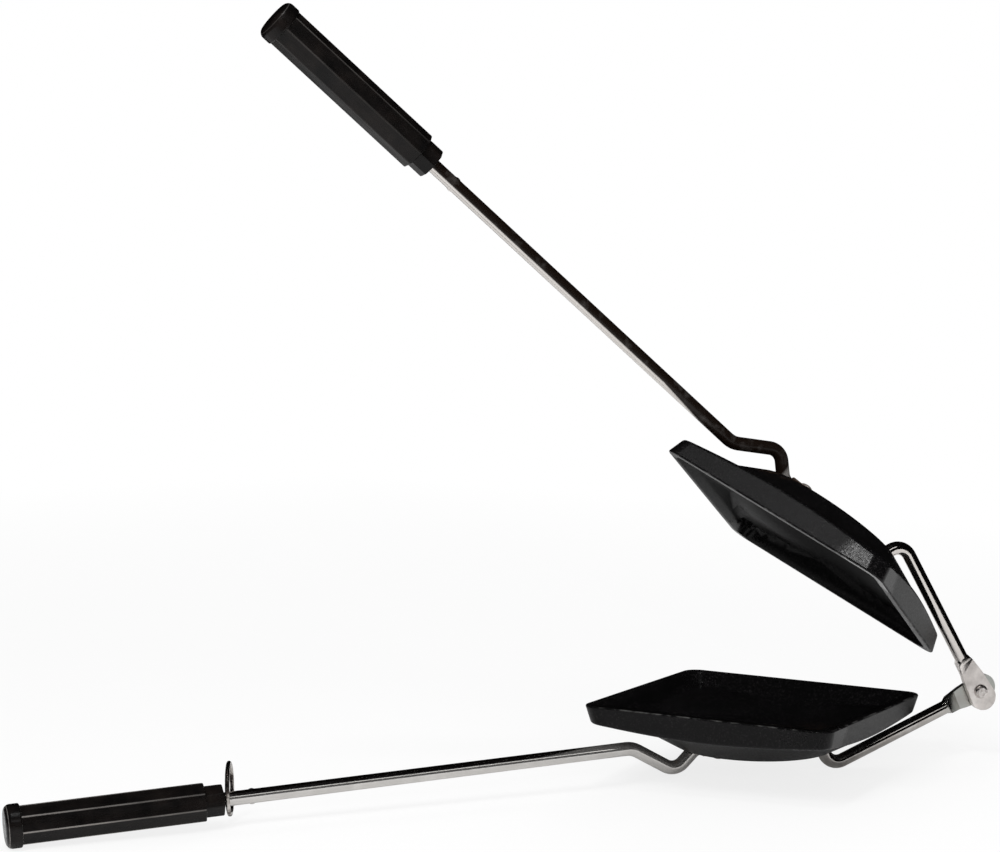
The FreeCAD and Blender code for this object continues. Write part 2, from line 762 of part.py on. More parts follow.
def build_all():
    stands = half_placements(Vector())
    for half, stand in stands.items():
        finish_part(pan(half), half + "_pan", stand)
        finish_part(rod(half), half + "_rod", stand)
        for end in ("front", "rear"):
            finish_part(saddle(half, end), "%s_%s_saddle" % (half, end), stand)
            finish_part(saddle_screws(half, end), "%s_%s_saddle_screws" % (half, end), stand)
        finish_part(grip(half), half + "_grip", stand)
        finish_part(grip_cap(half), half + "_grip_cap", stand)
        finish_part(grip_washer(half), half + "_grip_washer", stand)
        finish_part(grip_nut(half), half + "_grip_nut", stand)

    lower = stands["lower"]
    far_eye = stack_half() + size.stack_gap
    finish_part(hinge_rivet(), "hinge_rivet", lower)
    finish_part(washer_on_pin("hinge_spacer", -size.spacer_thickness / 2, "sizes.spacer_radius",
                              "sizes.spacer_thickness"), "hinge_spacer", lower)
    finish_part(washer_on_pin("rivet_tail_washer", far_eye, "sizes.tail_washer_radius",
                              "sizes.tail_washer_thickness"), "rivet_tail_washer", lower)
    finish_part(hanging_ring(lower), "hanging_ring", Placement())
    doc.recompute()


def stand_on_origin():
    """Moves everything so that the origin is under the middle of the whole, on the floor."""
    whole = FreeCAD.BoundBox()
    for item in parts:
        whole.add(item.Shape.optimalBoundingBox(False, False))
    middle = whole.Center
    shift = Vector(-middle.x, -middle.y, -whole.ZMin)
    for item in parts:
        item.Placement = Placement(shift, NO_TURN).multiply(item.Placement)
    doc.recompute()
    return shift


def check_all():
    for item in doc.Objects:
        if "Invalid" in item.State or "Error" in item.State:
            raise RuntimeError("%s did not build: %s" % (item.Label, item.State))
    for item in parts:
        if item.Shape.isNull() or not item.Shape.isValid():
            raise RuntimeError("%s has no valid shape" % item.Label)
        if not item.Shape.Solids:
            raise RuntimeError("%s holds no solid" % item.Label)


build_all()
check_all()
origin_shift = stand_on_origin()
os.makedirs("parts", exist_ok=True)
for item in parts:
    item.Shape.exportStep("parts/%s.step" % item.Label)

# What the record needs: the hinge and the rod's run as they stand.
lower_stand = half_placements(origin_shift)["lower"]
pin_at = lower_stand.multVec(hinge_point())
run_direction = lower_stand.Rotation.multVec(run_frame().Rotation.multVec(X_AXIS))
print("hinge at", [round(value, 4) for value in pin_at])
print("run direction", [round(value, 6) for value in run_direction])
print("resting tilt", round(resting_tilt(), 4))
print("origin shift", [round(value, 4) for value in origin_shift])
for item in parts:
    print(item.Label, len(item.Shape.Solids), round(item.Shape.Volume, 1))
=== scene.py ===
"""Looks of an open pie iron: coated cast pans, chromed rods, moulded grips, riveted hinge."""

import json
import math

import bmesh
import bpy
from mathutils import Matrix, Vector


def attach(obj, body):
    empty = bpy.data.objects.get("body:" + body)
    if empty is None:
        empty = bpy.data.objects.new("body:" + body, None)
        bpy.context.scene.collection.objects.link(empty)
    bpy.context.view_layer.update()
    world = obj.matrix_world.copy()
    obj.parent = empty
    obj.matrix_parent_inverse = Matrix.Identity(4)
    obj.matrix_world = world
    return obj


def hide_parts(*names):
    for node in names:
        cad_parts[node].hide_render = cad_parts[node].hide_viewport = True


MM = 0.001

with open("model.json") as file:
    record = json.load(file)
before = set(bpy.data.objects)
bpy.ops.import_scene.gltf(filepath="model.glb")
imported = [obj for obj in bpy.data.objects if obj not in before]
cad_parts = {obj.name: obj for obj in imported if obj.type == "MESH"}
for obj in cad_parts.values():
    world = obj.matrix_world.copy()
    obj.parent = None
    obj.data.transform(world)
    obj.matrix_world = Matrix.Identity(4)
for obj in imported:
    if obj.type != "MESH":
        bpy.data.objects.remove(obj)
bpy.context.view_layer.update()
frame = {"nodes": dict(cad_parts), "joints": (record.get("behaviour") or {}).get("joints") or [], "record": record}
NODES = frame["nodes"]
RECORD = frame["record"]
BODY_OF = {node: body for body, nodes in RECORD["behaviour"]["bodies"].items() for node in nodes}
PIN = next(Vector(joint["pos_m"]) for joint in frame["joints"] if joint["name"] == "pan_hinge")
HALVES = ("lower", "upper")

# The photograph's own view, fitted to the outlines of the rods, pans and grips, in degrees and metres.
PHOTO_WIDTH = 1000
VIEW_AZIMUTH = -16.44
VIEW_ELEVATION = 5.26
VIEW_ROLL = -1.686
VIEW_DISTANCE = 1.2017
VIEW_TARGET = Vector((-0.00772, 0.0, 0.16971))
PIXELS_PER_METRE = 2241.0
SENSOR_WIDTH_MM = 36.0
CLIP_START = 0.05
CLIP_END = 50.0

# The iron's own sizes as its solids have them, in millimetres and degrees.
PAN_SIDE = 121.0
PAN_DEPTH = 22.3
PAD_RISE = 0.8
CLOSING_GAP = 0.3
OPENING_ANGLE = 36.0
CREST_POINT = Vector((-59.7, 0.0, -20.8))
RUN_SLOPE = 4.6
GRIP_RADIUS = 9.1
RIVET_HEAD_RADIUS = 3.2
STRAP_THICKNESS = 1.0
STRAP_REACHES = {"front": -20.5, "rear": 22.5}
# The base's mount stands this far to the side of the pan's middle.
BASE_MOUNT_OFFSET = 20.0

# How a copy of a CAD piece is smoothed: doubles merged within metres, edges kept sharp above degrees.
MERGE_DISTANCE = 1e-6
SMOOTH_ANGLE = 32.0

# The Mix node's sockets for colours, which have the same names as those for numbers.
MIX_SHARE = 0
MIX_UNDER = 6
MIX_OVER = 7
MIXED = 2


# Colour and node helpers

def colour(hex_value):
    """An sRGB hex colour as linear RGBA."""
    channels = [int(hex_value[start:start + 2], 16) / 255 for start in (0, 2, 4)]
    linear = [c / 12.92 if c <= 0.04045 else ((c + 0.055) / 1.055) ** 2.4 for c in channels]
    return (*linear, 1.0)


def add(tree, kind, inputs=None, output=0, stops=(), **settings):
    """Adds a node with its settings, links and colour stops; gives its first output or the one named."""
    node = tree.nodes.new(kind)
    for name, setting in settings.items():
        setattr(node, name, setting)
    for name, given in (inputs or {}).items():
        for value in given if isinstance(given, list) else [given]:
            if isinstance(value, bpy.types.NodeSocket):
                tree.links.new(value, node.inputs[name])
            else:
                node.inputs[name].default_value = value
    for number, (position, hex_value) in enumerate(stops):
        elements = node.color_ramp.elements
        element = elements[number] if number < len(elements) else elements.new(position)
        element.position = position
        element.color = colour(hex_value)
    return node.outputs[output] if node.outputs else None


def new_material(name):
    """An empty node material with its object coordinates to work from."""
    material = bpy.data.materials.new(name)
    material.use_nodes = True
    tree = material.node_tree
    tree.nodes.clear()
    return material, tree, add(tree, "ShaderNodeTexCoord", output="Object")


def per_metre(size_mm):
    """A texture scale whose features are about this many millimetres across."""
    return 1.0 / (size_mm * MM)


def seen_from(where, place):
    """Mapping inputs that turn object coordinates into those of another frame."""
    inverse = place.inverted()
    return {"Vector": where, "Location": inverse.translation, "Rotation": inverse.to_euler()}


def between(value, places, strengths=(0.0, 1.0)):
    """Map Range inputs for a strength that changes from one place, in millimetres, to another."""
    return {"Value": value, "From Min": places[0] * MM, "From Max": places[1] * MM,
            "To Min": strengths[0], "To Max": strengths[1]}


# Where the two halves lie

def half_frame(half):
    """A pan's own frame: origin in the middle of its rim, X to the hinge, Z out of the pan."""
    mount = next(mount for mount in RECORD["mounts"] if mount["name"] == "lower_pan_base")
    up = -Vector(mount["axis"])
    side = Vector((0, 1, 0))
    middle = Vector(mount["pos_m"]) + up * PAN_DEPTH * MM + side * BASE_MOUNT_OFFSET * MM
    lower = Matrix((side.cross(up), side, up)).transposed().to_4x4()
    lower.translation = middle
    if half == "lower":
        return lower
    pin = Matrix.Translation(PIN)
    swing = pin @ Matrix.Rotation(math.radians(OPENING_ANGLE), 4, "Y") @ pin.inverted()
    turned_over = Matrix.Translation((0, 0, CLOSING_GAP * MM)) @ Matrix.Rotation(math.pi, 4, "X")
    return swing @ lower @ turned_over


FRAMES = {half: half_frame(half) for half in HALVES}


def run_frame(half):
    """The straight run of a half's rod: origin at the crest, X along the rod to the hinge."""
    crest = Matrix.Translation(CREST_POINT * MM)
    return FRAMES[half] @ crest @ Matrix.Rotation(math.radians(-RUN_SLOPE), 4, "Y")


# Cast pans

# The coating's patterns: about how large their features are in millimetres, and how detailed.
COATING_PATTERNS = {
    "grain": (0.8, 3.0),
    "cloud": (14.0, 2.0),
    "blotch": (5.0, 4.0),
    "crust": (2.2, 3.0),
    "chips": (4.5, 4.0),
}
# Where a pan is marked, in its own frame and in millimetres: where each mark starts and where it is full.
FAT_FROM_ROD = (24.0, 7.0)
FAT_ON_BACK = (-15.0, -21.0)
# the rim's worn line is partly a painted highlight
WEAR_AND_HIGHLIGHT_FROM_RIM_PLANE = (0.6, 0.15)
WEAR_AND_HIGHLIGHT_FROM_MIDDLE = (PAN_SIDE / 2 - 1.2, PAN_SIDE / 2 - 0.5)
RUBBED_FROM_ROD = (67.0, 71.0)
# How much rougher burnt fat is, and how much smoother a rubbed corner.
FAT_ROUGHENS = 0.2
RUBBING_SMOOTHS = 0.17


def cast_coating(half):
    """Die-cast aluminium with a baked non-stick coating: black, finely speckled, worn at the rim, where the pale
    worn line is partly a painted highlight.
    """
    material, tree, where = new_material(half + "_cast_nonstick_coating")
    local = add(tree, "ShaderNodeMapping", seen_from(where, FRAMES[half]))
    axes = add(tree, "ShaderNodeSeparateXYZ", {"Vector": local}).node.outputs
    from_rod = add(tree, "ShaderNodeMath", {0: axes["Y"]}, operation="ABSOLUTE")
    from_rim_plane = add(tree, "ShaderNodeMath", {0: axes["Z"]}, operation="ABSOLUTE")
    pattern = {name: add(tree, "ShaderNodeTexNoise", {
                   "Vector": where, "Scale": per_metre(size), "Detail": detail})
               for name, (size, detail) in COATING_PATTERNS.items()}

    speckled = add(tree, "ShaderNodeValToRGB", {"Fac": pattern["grain"]},
                   stops=[(0.3, "050505"), (0.56, "0d0c0d"), (0.74, "262425")])
    cloudy = add(tree, "ShaderNodeMapRange", {
        "Value": pattern["cloud"], "From Min": 0.35, "From Max": 0.7, "To Max": 0.6})

    # burnt-on fat where the straps and the rod lie on the back
    on_back = add(tree, "ShaderNodeMapRange", between(axes["Z"], FAT_ON_BACK))
    blotched = add(tree, "ShaderNodeMapRange", {
        "Value": pattern["blotch"], "From Min": 0.42, "From Max": 0.62})
    stain = add(tree, "ShaderNodeMapRange", between(from_rod, FAT_FROM_ROD))
    for share in (on_back, blotched):
        stain = add(tree, "ShaderNodeMath", {0: stain, 1: share}, operation="MULTIPLY")
    burnt = add(tree, "ShaderNodeValToRGB", {"Fac": pattern["crust"]},
                stops=[(0.35, "1c1511"), (0.6, "382b23"), (0.8, "5b4a3c")])

    # bare metal shows in a broken line along the rim's outer edge; its pale line is partly a painted highlight of
    # the rounded rim
    chipped = add(tree, "ShaderNodeMapRange", {
        "Value": pattern["chips"], "From Min": 0.5, "From Max": 0.75, "To Max": 0.5})
    square = add(tree, "ShaderNodeMapping", {"Vector": local, "Rotation": (0.0, 0.0, math.pi / 4)})
    sides = add(tree, "ShaderNodeSeparateXYZ", {"Vector": square}).node.outputs
    reaches = [add(tree, "ShaderNodeMath", {0: sides[axis]}, operation="ABSOLUTE") for axis in "XY"]
    from_middle = add(tree, "ShaderNodeMath", {0: reaches[0], 1: reaches[1]}, operation="MAXIMUM")
    outermost = add(tree, "ShaderNodeMapRange", between(from_middle, WEAR_AND_HIGHLIGHT_FROM_MIDDLE))
    rim_wear_and_highlight = add(tree, "ShaderNodeMapRange", between(from_rim_plane, WEAR_AND_HIGHLIGHT_FROM_RIM_PLANE))
    for share in (chipped, outermost):
        rim_wear_and_highlight = add(tree, "ShaderNodeMath", {0: rim_wear_and_highlight, 1: share}, operation="MULTIPLY")

    base = speckled
    for share, over in ((cloudy, colour("080808")), (stain, burnt), (rim_wear_and_highlight, colour("8b8a88"))):
        base = add(tree, "ShaderNodeMix", {MIX_SHARE: share, MIX_UNDER: base, MIX_OVER: over}, MIXED,
                   data_type="RGBA")

    # the side corners are rubbed smooth, where the pan is set down and leant
    satin = add(tree, "ShaderNodeMapRange", {
        "Value": pattern["grain"], "From Min": 0.3, "From Max": 0.7, "To Min": 0.3, "To Max": 0.45})
    rubbed = add(tree, "ShaderNodeMapRange", between(from_rod, RUBBED_FROM_ROD, (0.0, RUBBING_SMOOTHS)))
    satin = add(tree, "ShaderNodeMath", {0: satin, 1: rubbed}, operation="SUBTRACT")
    roughness = add(tree, "ShaderNodeMath", {0: stain, 1: FAT_ROUGHENS, 2: satin}, operation="MULTIPLY_ADD")
    normal = add(tree, "ShaderNodeBump", {
        "Height": pattern["grain"], "Distance": 0.06 * MM, "Strength": 0.6})
    shader = add(tree, "ShaderNodeBsdfPrincipled", {
        "Base Color": base, "Roughness": roughness, "Metallic": rim_wear_and_highlight, "Specular IOR Level": 0.12,
        "Normal": normal})
    add(tree, "ShaderNodeOutputMaterial", {"Surface": shader})
    return material


# Chromed rods

# What the fire left on each rod: the colours of its chrome, of smoked chrome and of the eye, how much of
# the run and of the arm is smoked, and how much of the burnt film it has. The lower eye's darker, greener
# grey is painted shade, and the upper rod's full film is partly a painted dark reflection along its outer side.
BAR_FINISH = {
    "lower": {"chrome": "e2e0dd", "smoked": "8b847e", "eye": "b9bcb7", "smoke": (0.3, 0.75), "film_and_dark_reflection": 0.12},
    "upper": {"chrome": "dedad6", "smoked": "8b7f76", "eye": "eee8e4", "smoke": (0.15, 0.2), "film_and_dark_reflection": 1.0},
}
# Drawing marks run along the bar, and are drawn coarser than real ones, so that they show.
DRAWING_STRETCH = (0.06, 1.0, 1.0)
# Where a rod is marked, in its run's frame, in millimetres: along it from the crest, or up from its axis.
# The film's edge is measured outward from where it has climbed to.
RUN_TO_ARM = (60.0, 100.0)
FILM_CLIMBS_ALONG = (-45.0, -5.0)
FILM_CLIMB = 2.7
FILM_EDGE = (1.8, 1.3)
FILM_BEFORE_SEAT = (32.0, 27.0)
FILM_DOWN_THE_LEG = (8.0, 4.0)
# Distances from the pin, in millimetres.
EYE_REACH = (21.0, 15.0)
# the dark ring round the rivet: partly grime, partly painted shade where the head meets the eye
GRIME_AND_SHADE_REACH = (RIVET_HEAD_RADIUS + 1.7, RIVET_HEAD_RADIUS + 0.9)
GRIME_AND_SHADE_SHARE = 0.8
# How the film's thinnest spots compare with the rest, how much metal it hides, and what roughens the bar.
FILM_THINNEST = 0.96
FILM_HIDES = 0.9
FILM_ROUGHENS = 0.25
EYE_ROUGHENS = 0.24


def chromed_bar(half):
    """Chromed steel bar, drawn and polished: bright, browned by the fire near the pan, satin at the eye."""
    material, tree, where = new_material(half + "_chromed_bar")
    finish = BAR_FINISH[half]
    run = add(tree, "ShaderNodeMapping", seen_from(where, run_frame(half)))
    axes = add(tree, "ShaderNodeSeparateXYZ", {"Vector": run}).node.outputs
    stretched = add(tree, "ShaderNodeMapping", {"Vector": run, "Scale": DRAWING_STRETCH})
    drawn = add(tree, "ShaderNodeTexNoise", {"Vector": stretched, "Scale": per_metre(0.9), "Detail": 2.0})
    patch = add(tree, "ShaderNodeTexNoise", {"Vector": where, "Scale": per_metre(6.0), "Detail": 3.0})

    # smoke tint, on the run and, past the seat, on the arm
    smoke = add(tree, "ShaderNodeMapRange", between(axes["X"], RUN_TO_ARM, finish["smoke"]))
    patchy = add(tree, "ShaderNodeMapRange", {
        "Value": patch, "From Min": 0.3, "From Max": 0.6, "To Min": 0.6})
    smoke = add(tree, "ShaderNodeMath", {0: smoke, 1: patchy}, operation="MULTIPLY")

    # a burnt film on the side that lay away from the pan: its edge climbs towards the crest, where it runs
    # all round, and it ends half way down the leg to the pan. Where it is full, on the upper rod, its dark brown
    # is partly a painted reflection of dark surroundings
    climb = add(tree, "ShaderNodeMapRange", between(
        axes["X"], FILM_CLIMBS_ALONG, (0.0, FILM_CLIMB * MM)))
    outward = add(tree, "ShaderNodeMath", {0: axes["Z"], 1: climb}, operation="SUBTRACT")
    before_seat = add(tree, "ShaderNodeMapRange", between(axes["X"], FILM_BEFORE_SEAT))
    down_the_leg = add(tree, "ShaderNodeMapRange", between(axes["Z"], FILM_DOWN_THE_LEG))
    thin_spots = add(tree, "ShaderNodeMapRange", {
        "Value": patch, "From Min": 0.25, "From Max": 0.45,
        "To Min": FILM_THINNEST * finish["film_and_dark_reflection"], "To Max": finish["film_and_dark_reflection"]})
    film_and_dark_reflection = add(tree, "ShaderNodeMapRange", between(outward, FILM_EDGE))
    for share in (before_seat, down_the_leg, thin_spots):
        film_and_dark_reflection = add(tree, "ShaderNodeMath", {0: film_and_dark_reflection, 1: share}, operation="MULTIPLY")

    # the flattened eye is nickel grey and dull, the lower one painted a darker grey as shade, with a dark ring
    # round the rivet that is partly grime and partly painted shade
    from_pin = add(tree, "ShaderNodeVectorMath", {0: where, 1: PIN}, "Value", operation="DISTANCE")
    eye = add(tree, "ShaderNodeMapRange", between(from_pin, EYE_REACH))
    handled = add(tree, "ShaderNodeMapRange", {
        "Value": patch, "From Min": 0.35, "From Max": 0.65, "To Max": 0.5})
    # the lower eye's darker, greener grey is painted shade
    nickel = add(tree, "ShaderNodeMix", {
        MIX_SHARE: handled, MIX_UNDER: colour(finish["eye"]), MIX_OVER: colour("a39c98")}, MIXED,
        data_type="RGBA")
    grime_and_shade = add(tree, "ShaderNodeMapRange", between(from_pin, GRIME_AND_SHADE_REACH, (0.0, GRIME_AND_SHADE_SHARE)))

    # partly painted reflection and shade here: the upper rod's full film, the lower eye's darker grey, and the
    # ring round the rivet
    base = colour(finish["chrome"])
    for share, over in ((smoke, colour(finish["smoked"])), (film_and_dark_reflection, colour("140d09")), (eye, nickel),
                        (grime_and_shade, colour("2b2523"))):
        base = add(tree, "ShaderNodeMix", {MIX_SHARE: share, MIX_UNDER: base, MIX_OVER: over}, MIXED,
                   data_type="RGBA")

    roughness = add(tree, "ShaderNodeMapRange", {
        "Value": drawn, "From Min": 0.3, "From Max": 0.7, "To Min": 0.06, "To Max": 0.14})
    for share, roughens in ((eye, EYE_ROUGHENS), (film_and_dark_reflection, FILM_ROUGHENS)):
        roughness = add(tree, "ShaderNodeMath", {0: share, 1: roughens, 2: roughness},
                        operation="MULTIPLY_ADD")
    metallic = add(tree, "ShaderNodeMath", {0: film_and_dark_reflection, 1: -FILM_HIDES, 2: 1.0}, operation="MULTIPLY_ADD")
    normal = add(tree, "ShaderNodeBump", {"Height": drawn, "Distance": 0.02 * MM, "Strength": 0.35})
    shader = add(tree, "ShaderNodeBsdfPrincipled", {
        "Base Color": base, "Metallic": metallic, "Roughness": roughness, "Specular IOR Level": 0.25,
        "Normal": normal})
    add(tree, "ShaderNodeOutputMaterial", {"Surface": shader})
    return material


# Moulded grips

# How strong the pale highlight painted along the ridges of each grip is, and what is left of it between
# the streaks, near the collar and above the grip's axis.
RIDGE_PAINTED_HIGHLIGHT = {"lower": 0.7, "upper": 0.12}
HIGHLIGHT_BETWEEN_STREAKS = 0.4
HIGHLIGHT_NEAR_COLLAR = 0.35
HIGHLIGHT_ABOVE_AXIS = 0.55
# An octagon's ridges lie further from its axis than its faces, and not so far as the cap's rim (mm).
RIDGE_REACH = (GRIP_RADIUS - 0.18, GRIP_RADIUS - 0.09)
CAP_RIM_REACH = (GRIP_RADIUS + 0.1, GRIP_RADIUS)
# From the collar to the butt, and from above the grip's axis to below it, in the run's frame (mm).
COLLAR_TO_BUTT = (-195.0, -270.0)
ABOVE_TO_BELOW_AXIS = (3.0, -3.0)
# Flow marks run along the grip.
FLOW_STRETCH = (0.12, 1.0, 1.0)


def moulded_phenolic(half):
    """Black phenolic moulding: hard, with faint flow marks, and a pale highlight painted along the ridges."""
    material, tree, where = new_material(half + "_moulded_phenolic")
    run = add(tree, "ShaderNodeMapping", seen_from(where, run_frame(half)))
    axes = add(tree, "ShaderNodeSeparateXYZ", {"Vector": run}).node.outputs
    stretched = add(tree, "ShaderNodeMapping", {"Vector": run, "Scale": FLOW_STRETCH})
    flow = add(tree, "ShaderNodeTexNoise", {"Vector": stretched, "Scale": per_metre(2.5), "Detail": 3.0})
    mottle = add(tree, "ShaderNodeTexNoise", {"Vector": where, "Scale": per_metre(9.0), "Detail": 2.0})
    black = add(tree, "ShaderNodeValToRGB", {"Fac": mottle},
                stops=[(0.35, "080707"), (0.6, "110e0d"), (0.8, "191513")])

    # a pale highlight painted along the ridges, strongest at the butt and below the grip's axis
    flat = add(tree, "ShaderNodeVectorMath", {0: run, 1: (0.0, 1.0, 1.0)}, operation="MULTIPLY")
    from_axis = add(tree, "ShaderNodeVectorMath", {0: flat}, "Value", operation="LENGTH")
    below_rim = add(tree, "ShaderNodeMapRange", between(from_axis, CAP_RIM_REACH))
    at_butt = add(tree, "ShaderNodeMapRange", between(axes["X"], COLLAR_TO_BUTT, (HIGHLIGHT_NEAR_COLLAR, 1.0)))
    below_axis = add(tree, "ShaderNodeMapRange", between(axes["Z"], ABOVE_TO_BELOW_AXIS, (HIGHLIGHT_ABOVE_AXIS, 1.0)))
    streaks = add(tree, "ShaderNodeMapRange", {
        "Value": flow, "From Min": 0.3, "From Max": 0.6,
        "To Min": HIGHLIGHT_BETWEEN_STREAKS * RIDGE_PAINTED_HIGHLIGHT[half], "To Max": RIDGE_PAINTED_HIGHLIGHT[half]})
    ridge_highlight = add(tree, "ShaderNodeMapRange", between(from_axis, RIDGE_REACH))
    for share in (below_rim, at_butt, below_axis, streaks):
        ridge_highlight = add(tree, "ShaderNodeMath", {0: ridge_highlight, 1: share}, operation="MULTIPLY")
    # the ridges' pale colour is a painted highlight
    base = add(tree, "ShaderNodeMix", {MIX_SHARE: ridge_highlight, MIX_UNDER: black, MIX_OVER: colour("a39e9a")}, MIXED,
               data_type="RGBA")

    roughness = add(tree, "ShaderNodeMapRange", {
        "Value": flow, "From Min": 0.35, "From Max": 0.7, "To Min": 0.22, "To Max": 0.36})
    normal = add(tree, "ShaderNodeBump", {"Height": flow, "Distance": 0.03 * MM, "Strength": 0.4})
    shader = add(tree, "ShaderNodeBsdfPrincipled", {
        "Base Color": base, "Roughness": roughness, "IOR": 1.55, "Specular IOR Level": 0.15,
        "Normal": normal})
    add(tree, "ShaderNodeOutputMaterial", {"Surface": shader})
    return material


# Straps, screws, rivet and ring

def metal_material(name, patch_size, stops, roughness_range, bump_depth, metallic=1.0):
    """A metal whose tone and gloss vary in patches of this size; both lengths are in millimetres."""
    material, tree, where = new_material(name)
    patch = add(tree, "ShaderNodeTexNoise", {
        "Vector": where, "Scale": per_metre(patch_size), "Detail": 3.0})
    base = add(tree, "ShaderNodeValToRGB", {"Fac": patch}, stops=stops)
    roughness = add(tree, "ShaderNodeMapRange", {
        "Value": patch, "From Min": 0.3, "From Max": 0.7,
        "To Min": roughness_range[0], "To Max": roughness_range[1]})
    normal = add(tree, "ShaderNodeBump", {"Height": patch, "Distance": bump_depth * MM, "Strength": 0.5})
    shader = add(tree, "ShaderNodeBsdfPrincipled", {
        "Base Color": base, "Metallic": metallic, "Roughness": roughness, "Normal": normal})
    add(tree, "ShaderNodeOutputMaterial", {"Surface": shader})
    return material


def pressed_strap(half):
    """Pressed steel strap: dull, brown with heat, and partly hidden by burnt fat."""
    return metal_material(half + "_pressed_steel_strap", patch_size=3.0,
                          stops=[(0.3, "3a2d25"), (0.5, "6b594c"), (0.72, "9a8a7d")],
                          roughness_range=(0.55, 0.35), bump_depth=0.05, metallic=0.6)


def zinc_plate():
    """Zinc-plated steel screws, nuts and washers: pale grey, slightly spangled, darker in random patches."""
    return metal_material("zinc_plated_steel", patch_size=1.2,
                          stops=[(0.35, "7a726b"), (0.6, "aaa39d"), (0.8, "cac4be")],
                          roughness_range=(0.5, 0.32), bump_depth=0.03, metallic=0.6)


def nickel_rivet():
    """Nickel-plated rivet and washers: smooth with hammered spots, darker in random patches."""
    return metal_material("nickel_plated_rivet", patch_size=1.6,
                          stops=[(0.35, "aaa29e"), (0.5, "d2ccc8"), (0.75, "efebe8")],
                          roughness_range=(0.42, 0.26), bump_depth=0.04)


def plated_wire():
    """Plated steel wire of the ring: bright with dark worn and dirty stretches."""
    return metal_material("plated_ring_wire", patch_size=4.0,
                          stops=[(0.4, "4a4340"), (0.52, "a5a09b"), (0.8, "d8d4d0")],
                          roughness_range=(0.4, 0.12), bump_depth=0.02)


# Pieces

def new_object(name, data):
    """A piece, lamp or camera with this data, linked to the scene."""
    made = bpy.data.objects.new(name, data)
    bpy.context.scene.collection.objects.link(made)
    return made


def object_from(shape, name):
    """A new object with the faces of a bmesh, which is freed."""
    mesh = bpy.data.meshes.new(name)
    shape.to_mesh(mesh)
    shape.free()
    return new_object(name, mesh)


def make_plain(piece):
    """Turns what the modifiers make into the piece's own mesh."""
    bpy.context.view_layer.update()
    depsgraph = bpy.context.evaluated_depsgraph_get()
    made = piece.evaluated_get(depsgraph)
    mesh = bpy.data.meshes.new_from_object(made, preserve_all_data_layers=True, depsgraph=depsgraph)
    piece.modifiers.clear()
    piece.data = mesh
    mesh.name = piece.name


def soften(piece):
    """Smooth normals over round faces, weighted so that flat faces stay flat."""
    piece.data.shade_smooth()
    piece.data.set_sharp_from_angle(angle=math.radians(SMOOTH_ANGLE))
    weighted = piece.modifiers.new("weighted_normals", "WEIGHTED_NORMAL")
    weighted.keep_sharp = True
    make_plain(piece)


def stand_for(piece, node, material):
    """Puts a piece in a CAD node's place, on its body and with its finish."""
    piece.data.materials.clear()
    piece.data.materials.append(material)
    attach(piece, BODY_OF[node])
    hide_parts(node)


def smooth_copy(node, material):
    """A merged copy of a CAD piece, with the normals that its round faces need."""
    shape = bmesh.new()
    shape.from_mesh(NODES[node].data)
    bmesh.ops.remove_doubles(shape, verts=shape.verts, dist=MERGE_DISTANCE)
    piece = object_from(shape, node + "_surface")
    soften(piece)
    stand_for(piece, node, material)


# Slotted screws on the straps

# A screw's sizes in millimetres. The dome drops from its middle to the head's rim, the shank goes through
# the strap into the pan, and the spread is from the rod's middle to the screw.
SCREW_SIZES = {
    "Head Radius": 2.7,
    "Head Height": 1.6,
    "Dome Drop": 0.75,
    "Slot Width": 0.7,
    "Slot Depth": 0.8,
    "Shank Radius": 1.5,
    "Shank Length": 4.5 + STRAP_THICKNESS,
    "Spread": 8.2,
}
SCREW_SEGMENTS = 48


def raised(tree, shape, height):
    """The shape, moved up by this height."""
    offset = add(tree, "ShaderNodeCombineXYZ", {"Z": height})
    return add(tree, "GeometryNodeTransform", {"Geometry": shape, "Translation": offset})


